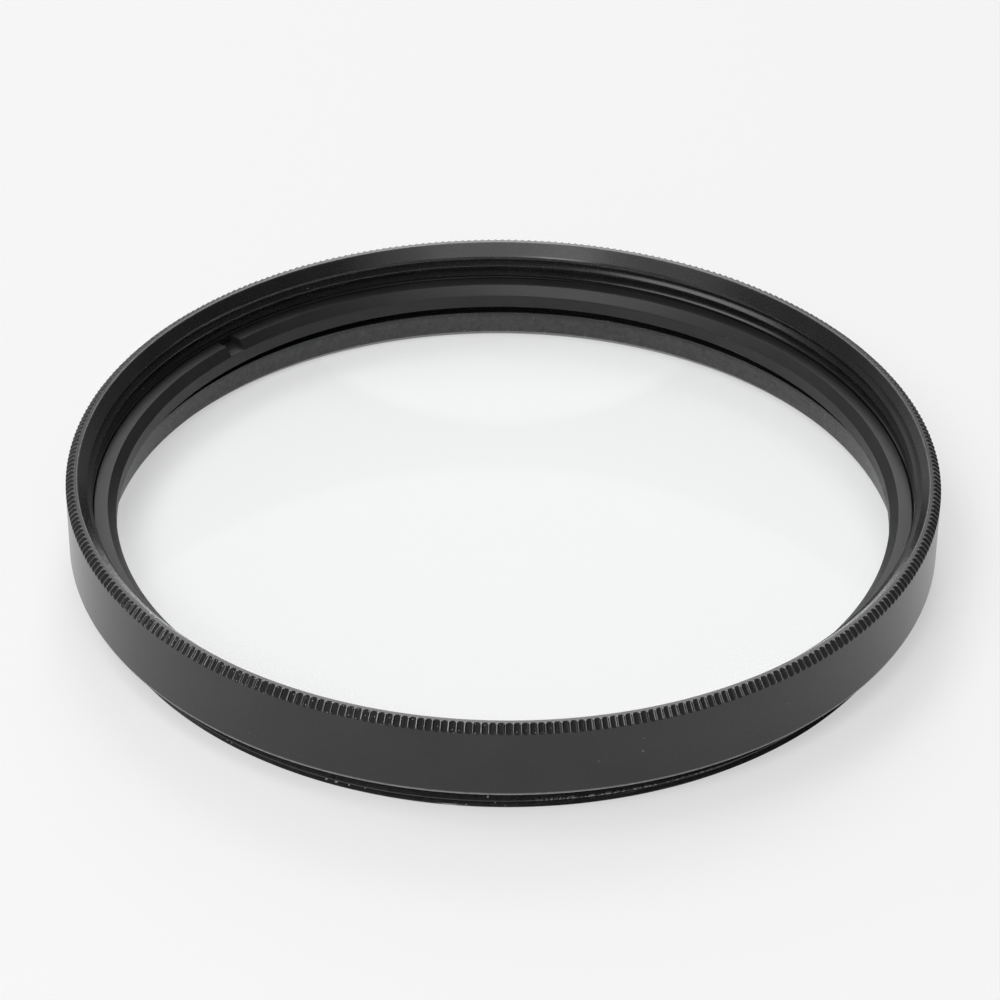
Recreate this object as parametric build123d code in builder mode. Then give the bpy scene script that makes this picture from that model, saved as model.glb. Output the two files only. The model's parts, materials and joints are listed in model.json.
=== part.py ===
from build123d import *
from math import pi, sqrt
import os

# A screw-in lens filter, in millimetres. It lies on its rear face, with the optical axis
# along +Z, the male thread at the bottom and the female thread open at the top.

# Filter thread, the same nominal size at the rear and at the front
thread_diameter = 52.0
thread_clearance = 0.04

# Heights of the turned frame, from the rear face up
foot_height = 1.9
band_height = 4.5

# Wall and edges of the frame
front_wall = 1.16
foot_chamfer = 0.18
shoulder_chamfer = 0.15
rear_chamfer = 0.5
front_bevel = 0.44

# Straight knurl on the rim's outer chamfer, with its crests just inside the band
tooth_count = 370
knurl_drop = 0.03
knurl_chamfer = 0.29
knurl_depth = 0.09
knurl_margin = 0.04
crest_width = 0.1
groove_overshoot = 0.02

# Glass and its seat in the frame
seat_rise = 0.1
seat_width = 0.54
pocket_step = 0.2
glass_thickness = 1.1
glass_clearance = 0.05
glass_edge_chamfer = 0.2

# Retaining ring, screwed down on the glass in a thread of its own, with two slots for a spanner
ring_thread_step = 0.4
ring_thread_run_out = 0.2
ring_width = 1.4
ring_height = 1.45
ring_bevel_width = 0.5
ring_bevel_height = 0.58
ring_edge_chamfer = 0.12
slot_count = 2
slot_width = 1.2
slot_depth = 0.5
slot_angle = 137.0

# Radii
foot_radius = thread_diameter / 2
bore_radius = foot_radius + thread_clearance
band_radius = bore_radius + front_wall
grip_radius = band_radius - knurl_drop
ring_radius = foot_radius - ring_thread_step
ring_seat_radius = ring_radius + thread_clearance
ring_bore_radius = ring_radius - ring_width
pocket_radius = ring_seat_radius - pocket_step
glass_radius = pocket_radius - glass_clearance
aperture_radius = pocket_radius - seat_width

# Heights
grip_bottom = foot_height + band_height
grip_height = knurl_chamfer + sqrt(2) * knurl_depth + knurl_margin
rim_top = grip_bottom + grip_height
seat = foot_height + seat_rise
glass_top = seat + glass_thickness
ring_thread_floor = glass_top - ring_thread_run_out
ring_top = glass_top + ring_height

# Frame: turned outside, knurled round the grip, then bored out
with BuildPart() as filter_frame:
    with BuildSketch(Plane.XZ):
        with BuildLine():
            Polyline(
                (0, 0),
                (foot_radius - foot_chamfer, 0),
                (foot_radius, foot_chamfer),
                (foot_radius, foot_height),
                (band_radius - shoulder_chamfer, foot_height),
                (band_radius, foot_height + shoulder_chamfer),
                (band_radius, grip_bottom),
                (0, grip_bottom),
                close=True,
            )
        make_face()
    revolve(axis=Axis.Z)

    # Blank of the grip, with one flat for each tooth and a 45 degree chamfer up to the rim
    half_pitch_angle = 180 / tooth_count
    with BuildSketch(Plane.XY.offset(grip_bottom)):
        RegularPolygon(grip_radius, tooth_count, major_radius=False, rotation=half_pitch_angle)
    extrude(amount=grip_height)
    chamfer(filter_frame.edges().group_by(Axis.Z)[-1], knurl_chamfer)

    # V grooves between the flats, along the chamfer from the rim down to the band
    tooth_pitch = 2 * pi * grip_radius / tooth_count
    groove_slope = (tooth_pitch - crest_width) / 2 / knurl_depth
    groove_reach = knurl_depth + groove_overshoot
    groove_half_width = groove_reach * groove_slope
    root_drop = knurl_chamfer / 2 + knurl_depth / sqrt(2)
    across_chamfer = Plane(
        origin=(grip_radius - root_drop, 0, rim_top - root_drop),
        x_dir=(1, 0, 1),
        z_dir=(-1, 0, 1),
    )
    with BuildPart(mode=Mode.PRIVATE) as groove:
        with BuildSketch(across_chamfer):
            Polygon(
                (0, 0),
                (groove_reach, -groove_half_width),
                (groove_reach, groove_half_width),
                align=None,
            )
        extrude(amount=knurl_chamfer + knurl_depth, both=True)
    with PolarLocations(0, tooth_count, start_angle=half_pitch_angle):
        add(groove.part, mode=Mode.SUBTRACT)

    # Bore: clear aperture, glass pocket, seat of the retaining ring, female thread, front bevel
    with BuildSketch(Plane.XZ):
        with BuildLine():
            Polyline(
                (0, 0),
                (aperture_radius + rear_chamfer, 0),
                (aperture_radius, rear_chamfer),
                (aperture_radius, seat),
                (pocket_radius, seat),
                (pocket_radius, ring_thread_floor),
                (ring_seat_radius, ring_thread_floor),
                (ring_seat_radius, ring_top),
                (bore_radius, ring_top),
                (bore_radius, rim_top - front_bevel),
                (bore_radius + front_bevel, rim_top),
                (0, rim_top),
                close=True,
            )
        make_face()
    revolve(axis=Axis.Z, mode=Mode.SUBTRACT)

# Glass: a clear plane disc with ground edges
with BuildPart() as filter_glass:
    with BuildSketch(Plane.XY.offset(seat)):
        Circle(glass_radius)
    extrude(amount=glass_thickness)
    chamfer(filter_glass.edges().filter_by(GeomType.CIRCLE), glass_edge_chamfer)

# Retaining ring: bevelled towards the glass, slotted on its front face
with BuildPart() as retaining_ring:
    with BuildSketch(Plane.XZ):
        with BuildLine():
            Polyline(
                (ring_bore_radius, glass_top),
                (ring_radius - ring_edge_chamfer, glass_top),
                (ring_radius, glass_top + ring_edge_chamfer),
                (ring_radius, ring_top - ring_edge_chamfer),
                (ring_radius - ring_edge_chamfer, ring_top),
                (ring_bore_radius + ring_bevel_width, ring_top),
                (ring_bore_radius, ring_top - ring_bevel_height),
                close=True,
            )
        make_face()
    revolve(axis=Axis.Z)
    with BuildSketch(Plane.XY.offset(ring_top)):
        with PolarLocations(ring_radius - ring_width / 2, slot_count, start_angle=slot_angle):
            Rectangle(2 * ring_width, slot_width)
    extrude(amount=-slot_depth, mode=Mode.SUBTRACT)

filter_frame.part.label = "filter_frame"
filter_glass.part.label = "filter_glass"
retaining_ring.part.label = "retaining_ring"

os.makedirs("parts", exist_ok=True)
export_step(filter_frame.part, "parts/filter_frame.step")
export_step(filter_glass.part, "parts/filter_glass.step")
export_step(retaining_ring.part, "parts/retaining_ring.step")
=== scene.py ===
import json
import math
import random

import bmesh
import bpy
from mathutils import Matrix, Vector


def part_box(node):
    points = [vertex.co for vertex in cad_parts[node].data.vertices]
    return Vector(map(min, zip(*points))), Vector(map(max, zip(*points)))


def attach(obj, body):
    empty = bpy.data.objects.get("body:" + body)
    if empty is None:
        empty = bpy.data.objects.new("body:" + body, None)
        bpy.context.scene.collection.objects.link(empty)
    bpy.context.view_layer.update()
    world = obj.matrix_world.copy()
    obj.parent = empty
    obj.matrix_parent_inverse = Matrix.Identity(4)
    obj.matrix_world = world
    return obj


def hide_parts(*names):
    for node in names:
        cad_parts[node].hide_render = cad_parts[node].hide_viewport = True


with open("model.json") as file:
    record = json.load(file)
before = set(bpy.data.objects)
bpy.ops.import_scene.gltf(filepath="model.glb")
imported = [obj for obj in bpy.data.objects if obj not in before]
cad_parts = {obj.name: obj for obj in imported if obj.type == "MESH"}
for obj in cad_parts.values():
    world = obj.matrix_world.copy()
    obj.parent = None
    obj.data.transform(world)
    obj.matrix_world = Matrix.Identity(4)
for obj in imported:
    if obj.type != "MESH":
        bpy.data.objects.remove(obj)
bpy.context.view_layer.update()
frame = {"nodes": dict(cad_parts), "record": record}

# A screw-in lens filter, lying on its threaded end. Lengths are in millimetres.
MM = 0.001

# Sizes that the frame gives
frame_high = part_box("filter_frame")[1] / MM
ring_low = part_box("retaining_ring")[0] / MM
ring_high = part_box("retaining_ring")[1] / MM
glass_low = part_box("filter_glass")[0] / MM
mounts = {mount["name"]: mount for mount in frame["record"]["mounts"]}
foot_radius = mounts["rear_thread"]["dims"]["r_mm"]
bore_radius = mounts["front_thread"]["dims"]["r_mm"]
band_radius = frame_high.x
rim_top = frame_high.z
ring_radius = ring_high.x
ring_top = ring_high.z
glass_top = ring_low.z
seat = glass_low.z

# Heights and edges of the turned frame
foot_height = 1.9
foot_chamfer = 0.18
shoulder_chamfer = 0.15
shoulder_round = 0.07
rear_chamfer = 0.5
front_bevel = 0.44
edge_round = 0.03
bevel_bottom = rim_top - front_bevel

# Straight knurl on the rim's outer chamfer. Radius and height add up to the same along a crest.
tooth_count = 370
knurl_drop = 0.03
knurl_chamfer = 0.29
knurl_depth = 0.105
crest_width = 0.06
crest_round = 0.01
knee_run = 0.04
knee_drop = 0.057
flank_run = 0.09
flank_drop = 0.088
floor_edge_run = 0.1
floor_edge_drop = 0.09
groove_end_round = 0.015
tooth_variation = 0.2
crest_unevenness = 0.012
crest_lean = 0.015
crest_level = band_radius - knurl_drop - knurl_chamfer + rim_top
groove_drop = knurl_depth * math.sqrt(2)
grip_bottom = crest_level - groove_drop - band_radius
rim_edge_radius = crest_level - groove_drop - rim_top

# Filter threads: 60 degree threads, right-handed
thread_pitch = 0.75
thread_depth = 0.42
relief_height = 0.25
relief_radius = foot_radius - thread_depth
female_crest_radius = ring_radius + 0.04

# Glass pocket and retaining ring
ring_thread_run_out = 0.2
pocket_step = 0.2
seat_width = 0.54
ring_width = 1.4
ring_bevel_width = 0.5
ring_bevel_height = 0.58
ring_edge_round = 0.1
slot_count = 2
slot_width = 1.2
slot_depth = 0.5
slot_angle = 137.0
pocket_radius = female_crest_radius - pocket_step
aperture_radius = pocket_radius - seat_width
ring_bore_radius = ring_radius - ring_width
ring_thread_floor = glass_top - ring_thread_run_out

# Share of plain white in the floor as it is seen, and how white that is
floor_lift = 0.5
floor_white = 1.0

# Wear: the share of bare metal on an edge, and below zero for a groove that nothing touches. On the shoulder's
# edge the bare metal is also a painted highlight, the light line that the chamfer's reflection of the floor
# gives.
wear_and_highlight_layer = "wear"
sheltered = -1.0
crest_wear = 0.65
shoulder_wear_and_highlight = 1.0
rim_wear = 0.3

# Fineness of the meshes
column_count = tooth_count
edge_steps = 4
groove_end_steps = 2
merge_distance = 0.0005
sharp_angle = 7.0


class RingMesh:
    """A mesh made of rings of points round the Z axis."""

    def __init__(self):
        self.points = []
        self.wear = []
        self.faces = []

    def point(self, radius, angle, height, wear=0.0):
        self.points.append((radius * math.cos(angle), radius * math.sin(angle), height))
        self.wear.append(wear)
        return len(self.points) - 1

    def ring(self, radius, height, wear=0.0):
        step = math.tau / column_count
        return [self.point(radius, i * step, height, wear) for i in range(column_count)]

    def face(self, corners):
        corners = list(dict.fromkeys(corners))
        if len(corners) > 2:
            self.faces.append(corners)

    def bridge(self, first, second):
        count = len(first)
        for i in range(count):
            j = (i + 1) % count
            self.face((first[i], first[j], second[j], second[i]))

    def fan(self, coarse, fine, shift):
        """Joins a coarse ring to a finer one, whose points start shift places later."""
        step = len(fine) // len(coarse)
        for i, start in enumerate(coarse):
            end = coarse[(i + 1) % len(coarse)]
            run = [fine[(i * step + shift + k) % len(fine)] for k in range(step + 1)]
            middle = step // 2
            for k in range(step):
                self.face((start if k < middle else end, run[k], run[k + 1]))
            self.face((start, run[middle], end))

    def turn(self, profile, worn_and_highlit_edges=()):
        """Turns an open profile about the axis and gives its first and last rings."""
        rings = [self.ring(*place, wear_and_highlight_near_edges(place, worn_and_highlit_edges)) for place in profile]
        for lower, upper in zip(rings, rings[1:]):
            self.bridge(lower, upper)
        return rings[0], rings[-1]

    def build(self, name):
        """Makes a piece with closed walls and with its sharp edges marked."""
        mesh = bpy.data.meshes.new(name)
        mesh.from_pydata([tuple(MM * value for value in point) for point in self.points], [], self.faces)
        mesh.attributes.new(wear_and_highlight_layer, "FLOAT", "POINT").data.foreach_set("value", self.wear)
        cleaner = bmesh.new()
        cleaner.from_mesh(mesh)
        bmesh.ops.remove_doubles(cleaner, verts=cleaner.verts, dist=merge_distance * MM)
        bmesh.ops.recalc_face_normals(cleaner, faces=cleaner.faces)
        cleaner.to_mesh(mesh)
        cleaner.free()
        mesh.shade_smooth()
        mesh.set_sharp_from_angle(angle=math.radians(sharp_angle))
        piece = bpy.data.objects.new(name, mesh)
        bpy.context.scene.collection.objects.link(piece)
        return piece


def wear_and_highlight_near_edges(place, worn_and_highlit_edges):
    """Wear at a point of a profile, near an edge given as (radius, height, reach, wear). On the shoulder's
    edge it is also a painted highlight.
    """
    wear = 0.0
    for radius, height, reach, most in worn_and_highlit_edges:
        distance = math.hypot(place[0] - radius, place[1] - height)
        wear = max(wear, most * (1 - distance / reach))
    return wear


def rounded(corners, steps=edge_steps):
    """Points along a profile, open or closed. A corner is (radius, height, rounding)."""
    points = []
    for i, (radius, height, rounding) in enumerate(corners):
        corner = Vector((radius, height))
        if rounding == 0:
            points.append(corner)
            continue
        before = Vector(corners[i - 1][:2]) - corner
        after = Vector(corners[(i + 1) % len(corners)][:2]) - corner
        start = corner + before.normalized() * rounding
        end = corner + after.normalized() * rounding
        for k in range(steps + 1):
            t = k / steps
            points.append(start * (1 - t) ** 2 + corner * 2 * t * (1 - t) + end * t ** 2)
    return points


def smooth_step(value, low, high):
    t = min(max((value - low) / (high - low), 0), 1)
    return t * t * (3 - 2 * t)


# Places of the rows of a thread over one pitch, with a ridge at 0 and a groove at one half
thread_rows = (0.0, 0.04, 0.14, 0.22, 0.3, 0.375, 0.5, 0.625, 0.7, 0.78, 0.86, 0.96)
ridge_flat = 0.04
groove_flat = 0.375


def groove_share(place):
    """Depth of the thread's groove at a place along one pitch, from 0 to 1."""
    distance = min(place, 1 - place)
    return min(max((distance - ridge_flat) / (groove_flat - ridge_flat), 0), 1)


def thread_wall(mesh, bottom_ring, top_ring, bottom, top, radius_at):
    """Joins two level rings by a wall whose rows climb round the axis as a thread does."""
    rows = len(thread_rows)
    turns = math.ceil((top - bottom) / thread_pitch) + 1
    closest = 0.006
    known = {}

    def corner(column, row):
        if column == column_count:
            column, row = 0, row + rows
        if (column, row) not in known:
            turn, place = divmod(row, rows)
            climb = turn - 1 + thread_rows[place] + column / column_count
            height = bottom + climb * thread_pitch
            if height < bottom + closest:
                known[column, row] = bottom_ring[column]
            elif height > top - closest:
                known[column, row] = top_ring[column]
            else:
                radius = radius_at(height, groove_share(thread_rows[place]))
                known[column, row] = mesh.point(radius, math.tau * column / column_count, height)
        return known[column, row]

    for column in range(column_count):
        for row in range(turns * rows):
            mesh.face((
                corner(column, row),
                corner(column + 1, row),
                corner(column + 1, row + 1),
                corner(column, row + 1),
            ))


def male_thread_radius(height, groove):
    """Radius of the foot, which starts at its chamfer and runs out in a relief under the shoulder."""
    starts = smooth_step(height, 0.02, 0.22)
    radius = foot_radius - thread_depth * groove * starts
    run_out = relief_radius + 2.5 * (foot_height - relief_height - height)
    return min(radius, foot_radius - foot_chamfer + height, run_out)


def female_thread_radius(height, groove):
    """Radius of the front bore, which runs out above the retaining ring and ends in the bevel."""
    starts = smooth_step(height, ring_top, ring_top + 0.25)
    radius = female_crest_radius + (bore_radius - female_crest_radius) * groove * starts
    return max(radius, bore_radius - (bevel_bottom - height))


def knurl_columns():
    """Angle, depth and wear of each point round the knurl, twelve to a tooth, from groove to groove."""
    dice = random.Random(7)
    pitch = math.tau * band_radius / tooth_count
    steep_slope = knee_drop / knee_run
    columns = []
    for tooth in range(tooth_count):
        half_crest = crest_width / 2 * (1 + tooth_variation * dice.uniform(-1, 1))
        crest = crest_unevenness * dice.random()
        lean = crest_lean * dice.uniform(-1, 1)
        wear = crest_wear * dice.uniform(0.4, 1)
        shoulder = crest + steep_slope * crest_round
        knee = crest + knee_drop
        for place, depth, worn in (
            (-pitch / 2, knurl_depth, sheltered),
            (lean - half_crest - floor_edge_run, floor_edge_drop, sheltered),
            (lean - half_crest - flank_run, flank_drop, 0.0),
            (lean - half_crest - knee_run, knee, 0.0),
            (lean - half_crest - crest_round, shoulder, 0.0),
            (lean - half_crest + crest_round, crest, wear),
            (lean, crest, wear),
            (lean + half_crest - crest_round, crest, wear),
            (lean + half_crest + crest_round, shoulder, 0.0),
            (lean + half_crest + knee_run, knee, 0.0),
            (lean + half_crest + flank_run, flank_drop, 0.0),
            (lean + half_crest + floor_edge_run, floor_edge_drop, sheltered),
        ):
            columns.append((math.tau * tooth / tooth_count + place / band_radius, depth, worn))
    return columns


def make_frame():
    """The frame: foot with its thread, band, knurled rim, female thread and glass pocket."""
    mesh = RingMesh()
    crest_place = 6

    # Knurl, from the band up over the chamfer to the rim
    knurl_profiles = []
    for angle, depth, wear in knurl_columns():
        level = crest_level - depth * math.sqrt(2)
        bottom = level - band_radius
        top_radius = level - rim_top
        profile = rounded((
            (band_radius, bottom - 2 * groove_end_round, 0),
            (band_radius, bottom, groove_end_round),
            (top_radius, rim_top, groove_end_round),
            (top_radius - 2 * groove_end_round, rim_top, 0),
        ), groove_end_steps)
        ends = (profile[0], profile[-1])
        knurl_profiles.append([
            (radius, angle, height, 0.0 if (radius, height) in ends else wear) for radius, height in profile
        ])
    knurl_rings = [[mesh.point(*place) for place in ring] for ring in zip(*knurl_profiles)]
    for lower, upper in zip(knurl_rings, knurl_rings[1:]):
        mesh.bridge(lower, upper)

    # Band, shoulder and relief of the foot. The shoulder's edge is worn bare and carries a painted highlight.
    thread_top = foot_height - relief_height
    band_top, relief = mesh.turn(rounded((
        (band_radius, grip_bottom - 3 * groove_end_round, 0),
        (band_radius, foot_height + shoulder_chamfer + 2 * shoulder_round, 0),
        (band_radius, foot_height + shoulder_chamfer, shoulder_round),
        (band_radius - shoulder_chamfer, foot_height, shoulder_round),
        (relief_radius, foot_height, edge_round),
        (relief_radius, thread_top, 0),
    )), [(band_radius, foot_height + shoulder_chamfer, 2 * shoulder_round, shoulder_wear_and_highlight)])
    mesh.fan(band_top, knurl_rings[0], crest_place)

    # Rear face, clear aperture, glass pocket and seat of the retaining ring
    foot_edge_radius = foot_radius - foot_chamfer
    foot_start, seat_top = mesh.turn(rounded((
        (foot_edge_radius + edge_round, edge_round, 0),
        (foot_edge_radius, 0, edge_round),
        (aperture_radius + rear_chamfer, 0, edge_round),
        (aperture_radius, rear_chamfer, edge_round),
        (aperture_radius, seat, edge_round),
        (pocket_radius, seat, 0),
        (pocket_radius, ring_thread_floor, 0),
        (female_crest_radius, ring_thread_floor, 0),
        (female_crest_radius, ring_top, 0),
    )))
    thread_wall(mesh, foot_start, relief, edge_round, thread_top, male_thread_radius)

    # Bevel and rim, above the female thread
    rim_radius = bore_radius + front_bevel
    bevel_start, rim_flat = mesh.turn(rounded((
        (bore_radius, bevel_bottom, 0),
        (rim_radius - 2 * edge_round, rim_top - 2 * edge_round, 0),
        (rim_radius, rim_top, edge_round),
        (rim_radius + 2 * edge_round, rim_top, 0),
        (rim_edge_radius - 3 * groove_end_round, rim_top, 0),
    )), [(rim_radius, rim_top, 2 * edge_round, rim_wear)])
    thread_wall(mesh, seat_top, bevel_start, ring_top, bevel_bottom, female_thread_radius)
    mesh.fan(rim_flat, knurl_rings[-1], crest_place)
    return mesh.build("frame_ring")


def make_retaining_ring():
    """The retaining ring: flat front, bevel towards the glass and two spanner slots."""
    mesh = RingMesh()
    slot_floor = ring_top - slot_depth
    half_slot = math.asin(slot_width / 2 / (ring_radius - ring_width / 2))
    wall_draft = 0.03 / ring_radius
    slot_centres = [math.radians(slot_angle + 360 * i / slot_count) for i in range(slot_count)]

    def from_slot(angle):
        return min(abs(math.remainder(angle - centre, math.tau)) for centre in slot_centres)

    step = math.tau / column_count
    angles = [i * step for i in range(column_count)]
    angles = [angle for angle in angles if abs(from_slot(angle) - half_slot) > step / 2]
    for centre in slot_centres:
        for side in (-1, 1):
            for offset in (half_slot - wall_draft, half_slot + wall_draft):
                angles.append((centre + side * offset) % math.tau)
    angles.sort()

    profile = rounded((
        (ring_bore_radius, glass_top, 0.02),
        (ring_radius, glass_top, ring_edge_round),
        (ring_radius, ring_top, ring_edge_round),
        (ring_bore_radius + ring_bevel_width, ring_top, edge_round),
        (ring_bore_radius, ring_top - ring_bevel_height, edge_round),
    ))
    rings = []
    for radius, height in profile:
        rings.append([
            mesh.point(radius, angle, min(height, slot_floor) if from_slot(angle) < half_slot else height)
            for angle in angles
        ])
    for lower, upper in zip(rings, rings[1:] + rings[:1]):
        mesh.bridge(lower, upper)
    return mesh.build("glass_retainer")


def node(tree, kind, inputs=None, **settings):
    """Adds a shader node. An input takes a value or another node's output."""
    made = tree.nodes.new(kind)
    for key, value in settings.items():
        setattr(made, key, value)
    for key, value in (inputs or {}).items():
        if isinstance(value, bpy.types.NodeSocket):
            tree.links.new(value, made.inputs[key])
        else:
            made.inputs[key].default_value = value
    return made


def new_material(name):
    material = bpy.data.materials.new(name)
    material.use_nodes = True
    material.node_tree.nodes.clear()
    return material, material.node_tree


def product(tree, *factors):
    """Multiplies sockets or numbers."""
    result = factors[0]
    for factor in factors[1:]:
        result = node(tree, "ShaderNodeMath", {0: result, 1: factor}, operation="MULTIPLY").outputs["Value"]
    return result


def ramp(tree, value, low, high):
    """Rises smoothly from 0 at low to 1 at high. It falls instead where low is above high."""
    return node(tree, "ShaderNodeMapRange", {
        "Value": value, "From Min": low, "From Max": high}, interpolation_type="SMOOTHSTEP").outputs["Result"]


def sector(tree, around, centre, half_width):
    """A share of 1 within a range of azimuths, which fades out at its ends."""
    angle = math.radians(centre)
    facing = node(tree, "ShaderNodeVectorMath", {
        0: around, 1: (math.cos(angle), math.sin(angle), 0)}, operation="DOT_PRODUCT")
    edge = math.cos(math.radians(half_width))
    core = math.cos(math.radians(0.6 * half_width))
    return ramp(tree, facing.outputs["Value"], edge, core)


def specks(tree, place, scale, size, share):
    """Scattered dots. Size is the radius as a share of the spacing, and share is how many cells hold one."""
    cells = node(tree, "ShaderNodeTexVoronoi", {"Vector": place, "Scale": scale})
    dice = node(tree, "ShaderNodeSeparateColor", {"Color": cells.outputs["Color"]})
    dot = ramp(tree, cells.outputs["Distance"], size, 0.5 * size)
    return product(tree, dot, ramp(tree, dice.outputs["Red"], 1 - share, 1.001 - share))


def spots(tree, place, marks):
    """Single marks on a surface."""
    cover = 0.0
    for azimuth, radius, height, size in marks:
        angle = math.radians(azimuth)
        centre = (radius * math.cos(angle) * MM, radius * math.sin(angle) * MM, height * MM)
        distance = node(tree, "ShaderNodeVectorMath", {0: place, 1: centre}, operation="DISTANCE")
        mark = ramp(tree, distance.outputs["Value"], size * MM, 0.5 * size * MM)
        cover = node(tree, "ShaderNodeMath", {0: cover, 1: mark}, operation="MAXIMUM").outputs["Value"]
    return cover


def anodised(name, roughness, marks_and_painted_light):
    """Satin black anodised aluminium with fine turning marks, bare or dusty where that is called for, and
    painted lighter where it stands in for light.
    """
    material, tree = new_material(name)
    place = node(tree, "ShaderNodeTexCoord").outputs["Object"]
    split = node(tree, "ShaderNodeSeparateXYZ", {"Vector": place})
    height = split.outputs["Z"]
    flat = node(tree, "ShaderNodeCombineXYZ", {"X": split.outputs["X"], "Y": split.outputs["Y"]})
    reach = node(tree, "ShaderNodeVectorMath", {0: flat.outputs["Vector"]}, operation="LENGTH")
    around = node(tree, "ShaderNodeVectorMath", {0: flat.outputs["Vector"]}, operation="NORMALIZE")
    turned = node(tree, "ShaderNodeCombineXYZ", {"X": reach.outputs["Value"], "Z": height})
    marks = node(tree, "ShaderNodeTexNoise", {
        "Vector": turned.outputs["Vector"], "Scale": 16000.0, "Detail": 2.0})
    grain = node(tree, "ShaderNodeTexNoise", {"Vector": place, "Scale": 14000.0, "Detail": 3.0})
    clouds = node(tree, "ShaderNodeTexNoise", {"Vector": place, "Scale": 260.0, "Detail": 4.0})
    relief = node(tree, "ShaderNodeMix", {
        "Factor": 0.55, 2: grain.outputs["Fac"], 3: marks.outputs["Fac"]}, data_type="FLOAT")
    bump = node(tree, "ShaderNodeBump", {
        "Height": relief.outputs["Result"], "Strength": 1.0, "Distance": 1.0e-6})
    tint = node(tree, "ShaderNodeValToRGB", {"Fac": clouds.outputs["Fac"]})
    tint.color_ramp.elements[0].position = 0.35
    tint.color_ramp.elements[0].color = (0.009, 0.009, 0.0094, 1)
    tint.color_ramp.elements[1].position = 0.68
    tint.color_ramp.elements[1].color = (0.014, 0.014, 0.0144, 1)
    gloss = node(tree, "ShaderNodeMapRange", {
        "Value": grain.outputs["Fac"], "From Min": 0.3, "From Max": 0.7,
        "To Min": roughness - 0.05, "To Max": roughness + 0.05})
    layer = node(tree, "ShaderNodeAttribute", attribute_name=wear_and_highlight_layer)
    matt = product(tree, ramp(tree, layer.outputs["Fac"], 0.0, sheltered), groove_roughness - roughness)
    dullness = node(tree, "ShaderNodeMath", {0: gloss.outputs["Result"], 1: matt}, operation="ADD")
    colour = tint.outputs["Color"]
    for cover, shade in marks_and_painted_light(tree, place, around.outputs["Vector"], height, layer.outputs["Fac"]):
        colour = node(tree, "ShaderNodeMix", {
            "Factor": cover, 6: colour, 7: shade}, data_type="RGBA").outputs[2]
    shader = node(tree, "ShaderNodeBsdfPrincipled", {
        "Base Color": colour, "Roughness": dullness.outputs["Value"],
        "IOR": 1.53, "Normal": bump.outputs["Normal"]})
    node(tree, "ShaderNodeOutputMaterial", {"Surface": shader.outputs["BSDF"]})
    return material


# Colours of marks. The bare metal also paints the shoulder's highlight, and the grey is dust and also paints
# light onto the shaded foot.
bare_metal_and_highlight = (0.32, 0.32, 0.325, 1)
bright_metal = (0.6, 0.6, 0.605, 1)
dust_and_lift_grey = (0.42, 0.42, 0.41, 1)
# Share of grey painted over the foot as light that lifts its shade
foot_painted_lift = 0.14
groove_roughness = 0.95

# Single marks, each with its azimuth, radius, height and size
nicks = (
    (246.8, 25.66, 0.17, 0.1),
    (248.2, 25.66, 0.17, 0.12),
    (250.0, 25.67, 0.17, 0.08),
    (252.2, 25.62, 0.2, 0.08),
    (268.4, 25.8, 0.75, 0.09),
    (218.9, 26.48, 6.85, 0.1),
    (220.0, 26.48, 6.85, 0.07),
)
band_marks = (
    (281.8, 27.2, 4.12, 0.07),
    (287.3, 27.2, 4.36, 0.1),
    (287.4, 27.2, 5.29, 0.06),
)


def frame_wear_and_painted_light(tree, place, around, height, worn):
    """Bare metal along the edges and the foot's thread, a painted highlight along the shoulder's edge, painted
    light that lifts the shade on the foot, and dust in the knurl and on the band.
    """
    # Bare metal on worn edges; along the shoulder's edge it is a painted highlight too
    patches = node(tree, "ShaderNodeTexNoise", {"Vector": place, "Scale": 2500.0, "Detail": 3.0})
    rubbed = node(tree, "ShaderNodeMapRange", {
        "Value": patches.outputs["Fac"], "From Min": 0.35, "From Max": 0.6, "To Min": 0.7})
    edges = product(tree, worn, rubbed.outputs["Result"])

    # Dashes along a crest of the foot's thread, and chips near its lower edge
    flecks = node(tree, "ShaderNodeTexNoise", {"Vector": place, "Scale": 5200.0, "Detail": 2.0})
    chipped = ramp(tree, flecks.outputs["Fac"], 0.5, 0.56)
    crest = product(
        tree, ramp(tree, height, 0.56 * MM, 0.6 * MM), ramp(tree, height, 0.71 * MM, 0.66 * MM))
    thread = product(tree, chipped, crest, sector(tree, around, 287, 14))
    low = ramp(tree, height, 0.8 * MM, 0.3 * MM)
    chips = product(tree, specks(tree, place, 3600.0, 0.24, 0.12), low)
    # A grey cover on the foot below the shoulder: painted light that lifts the shade there
    painted_lift = product(tree, patches.outputs["Fac"], ramp(tree, height, 1.95 * MM, 1.6 * MM), foot_painted_lift)

    # Dust
    grooves = ramp(tree, worn, 0.0, sheltered)
    groove_dust = product(tree, specks(tree, place, 5600.0, 0.21, 0.5), grooves, sector(tree, around, 241, 40))
    band_dust = specks(tree, place, 900.0, 0.045, 0.25)
    return (
        (painted_lift, dust_and_lift_grey),
        (edges, bare_metal_and_highlight),
        (thread, bare_metal_and_highlight),
        (chips, bare_metal_and_highlight),
        (spots(tree, place, nicks), bright_metal),
        (groove_dust, dust_and_lift_grey),
        (product(tree, band_dust, 0.4), dust_and_lift_grey),
        (product(tree, spots(tree, place, band_marks), 0.2), dust_and_lift_grey),
    )


def ring_wear(tree, place, around, height, worn):
    """A little dust."""
    return ((product(tree, specks(tree, place, 1200.0, 0.05, 0.2), 0.3), dust_and_lift_grey),)


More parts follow.
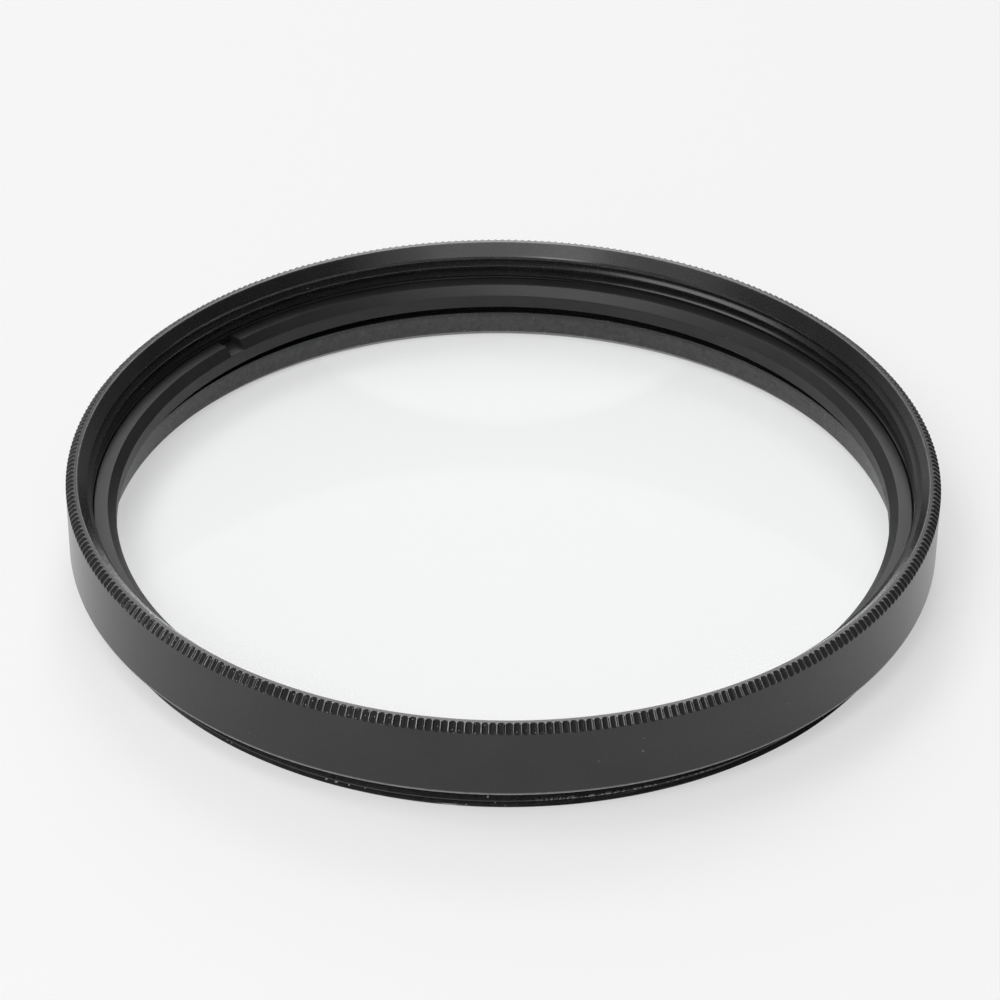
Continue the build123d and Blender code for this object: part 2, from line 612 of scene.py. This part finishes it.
def clear_glass():
    """Clear coated glass. Lamps shine straight through it."""
    material, tree = new_material("coated_glass")
    place = node(tree, "ShaderNodeTexCoord").outputs["Object"]
    smears = node(tree, "ShaderNodeTexNoise", {"Vector": place, "Scale": 120.0, "Detail": 3.0})
    haze = node(tree, "ShaderNodeMapRange", {
        "Value": smears.outputs["Fac"], "From Min": 0.45, "From Max": 0.75, "To Min": 0.0, "To Max": 0.02})
    shader = node(tree, "ShaderNodeBsdfPrincipled", {
        "Base Color": (0.993, 0.998, 0.996, 1), "Roughness": haze.outputs["Result"],
        "IOR": 1.07, "Specular Tint": (0.06, 0.06, 0.06, 1), "Transmission Weight": 1.0})
    through = node(tree, "ShaderNodeBsdfTransparent", {"Color": (0.985, 0.99, 0.988, 1)})
    path = node(tree, "ShaderNodeLightPath")
    lit = node(tree, "ShaderNodeMath", {
        0: path.outputs["Is Shadow Ray"], 1: path.outputs["Is Diffuse Ray"]}, operation="MAXIMUM")
    mix = node(tree, "ShaderNodeMixShader", {
        0: lit.outputs["Value"], 1: shader.outputs["BSDF"], 2: through.outputs["BSDF"]})
    node(tree, "ShaderNodeOutputMaterial", {"Surface": mix.outputs["Shader"]})
    return material


def pale_floor():
    """Pale paper. What looks at it, in a mirror or through glass too, sees it lifted towards white."""
    material, tree = new_material("pale_floor")
    place = node(tree, "ShaderNodeTexCoord").outputs["Object"]
    clouds = node(tree, "ShaderNodeTexNoise", {"Vector": place, "Scale": 6.0, "Detail": 2.0})
    tint = node(tree, "ShaderNodeValToRGB", {"Fac": clouds.outputs["Fac"]})
    tint.color_ramp.elements[0].color = (0.93, 0.93, 0.932, 1)
    tint.color_ramp.elements[1].color = (0.95, 0.95, 0.95, 1)
    paper = node(tree, "ShaderNodeBsdfDiffuse", {"Color": tint.outputs["Color"]})
    white = node(tree, "ShaderNodeEmission", {"Color": (1, 1, 1, 1), "Strength": floor_white})
    path = node(tree, "ShaderNodeLightPath")
    seen = node(tree, "ShaderNodeMath", {
        0: path.outputs["Is Camera Ray"], 1: path.outputs["Is Glossy Ray"]}, operation="MAXIMUM")
    seen = node(tree, "ShaderNodeMath", {
        0: seen.outputs["Value"], 1: path.outputs["Is Transmission Ray"]}, operation="MAXIMUM")
    share = node(tree, "ShaderNodeMath", {0: seen.outputs["Value"], 1: floor_lift}, operation="MULTIPLY")
    mix = node(tree, "ShaderNodeMixShader", {
        0: share.outputs["Value"], 1: paper.outputs["BSDF"], 2: white.outputs["Emission"]})
    node(tree, "ShaderNodeOutputMaterial", {"Surface": mix.outputs["Shader"]})
    return material


def finish_piece(piece, material, node_name):
    """Dresses a piece, keeps its flat faces flat, and sets it in the place of its node."""
    piece.data.materials.append(material)
    weighted = piece.modifiers.new("even_normals", "WEIGHTED_NORMAL")
    weighted.weight = 90
    weighted.keep_sharp = True
    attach(piece, "root")
    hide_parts(node_name)


def soft_lamp(name, azimuth, elevation, spread, brightness):
    """A round lamp aimed at the filter. Its place and half its width are in degrees, seen from there."""
    azimuth = math.radians(azimuth)
    elevation = math.radians(elevation)
    away = Vector((
        math.cos(elevation) * math.cos(azimuth),
        math.cos(elevation) * math.sin(azimuth),
        math.sin(elevation),
    ))
    radius = lamp_distance * math.tan(math.radians(spread))
    lamp = bpy.data.lights.new(name, "AREA")
    lamp.shape = "DISK"
    lamp.size = 2 * radius
    lamp.energy = brightness * math.pi * math.pi * radius ** 2
    made = bpy.data.objects.new(name, lamp)
    made.location = lamp_distance * away
    made.rotation_euler = away.to_track_quat("Z", "Y").to_euler()
    bpy.context.scene.collection.objects.link(made)


# The filter
frame_ring = make_frame()
finish_piece(frame_ring, anodised("anodised_frame", 0.24, frame_wear_and_painted_light), "filter_frame")
retainer = make_retaining_ring()
finish_piece(retainer, anodised("anodised_ring", 0.5, ring_wear), "retaining_ring")
glass = frame["nodes"]["filter_glass"]
glass.data.materials.clear()
glass.data.materials.append(clear_glass())

# The floor, just under the rear face
floor_half = 1.5
floor_drop = -0.00001
floor_mesh = bpy.data.meshes.new("floor")
floor_mesh.from_pydata(
    [(x * floor_half, y * floor_half, floor_drop) for x, y in ((-1, -1), (1, -1), (1, 1), (-1, 1))],
    [], [(0, 1, 2, 3)])
floor = bpy.data.objects.new("floor", floor_mesh)
floor_mesh.materials.append(pale_floor())
bpy.context.scene.collection.objects.link(floor)

# A dim room, lighter near the floor and on the left, with soft lamps
world = bpy.data.worlds.new("studio")
world.use_nodes = True
sky = world.node_tree
direction = node(sky, "ShaderNodeTexCoord").outputs["Generated"]
way = node(sky, "ShaderNodeSeparateXYZ", {"Vector": direction})
fade = node(sky, "ShaderNodeValToRGB", {"Fac": way.outputs["Z"]})
fade.color_ramp.elements.remove(fade.color_ramp.elements[1])
for place, level in ((0.2, 0.4), (0.45, 0.16), (0.7, 0.07)):
    fade.color_ramp.elements.new(place).color = (level, level, level, 1)
fade.color_ramp.elements[0].color = (0.5, 0.5, 0.5, 1)
side = node(sky, "ShaderNodeMapRange", {
    "Value": way.outputs["X"], "From Min": -1.0, "From Max": 1.0, "To Min": 1.8, "To Max": 0.4})
backdrop = sky.nodes["Background"]
sky.links.new(fade.outputs["Color"], backdrop.inputs["Color"])
sky.links.new(side.outputs["Result"], backdrop.inputs["Strength"])
bpy.context.scene.world = world
lamp_distance = 0.6
soft_lamp("front", 246, 44, 12, 6.4)
soft_lamp("front_top", 266, 61, 16, 1.8)
soft_lamp("left_top", 170, 66, 12, 3.7)
soft_lamp("front_right", 303, 53, 11, 1.1)
soft_lamp("left", 212, 48, 12, 0.8)
soft_lamp("back", 90, 47, 13, 4.1)
soft_lamp("back_low", 90, 26, 7, 5.0)
soft_lamp("back_top", 90, 69, 13, 1.2)

# Camera at the photograph's angle
camera_data = bpy.data.cameras.new("camera")
camera_data.sensor_width = 36.0
camera_data.lens = 132.37
camera = bpy.data.objects.new("camera", camera_data)
camera.location = (-0.0002, -0.1903, 0.13478)
view_down = math.radians(34.556)
view_roll = math.radians(0.597)
facing = Matrix.Rotation(math.pi / 2 - view_down, 3, "X") @ Matrix.Rotation(view_roll, 3, "Z")
camera.rotation_euler = facing.to_euler()
bpy.context.scene.collection.objects.link(camera)
bpy.context.scene.camera = camera
bpy.context.scene.view_settings.view_transform = "Standard"
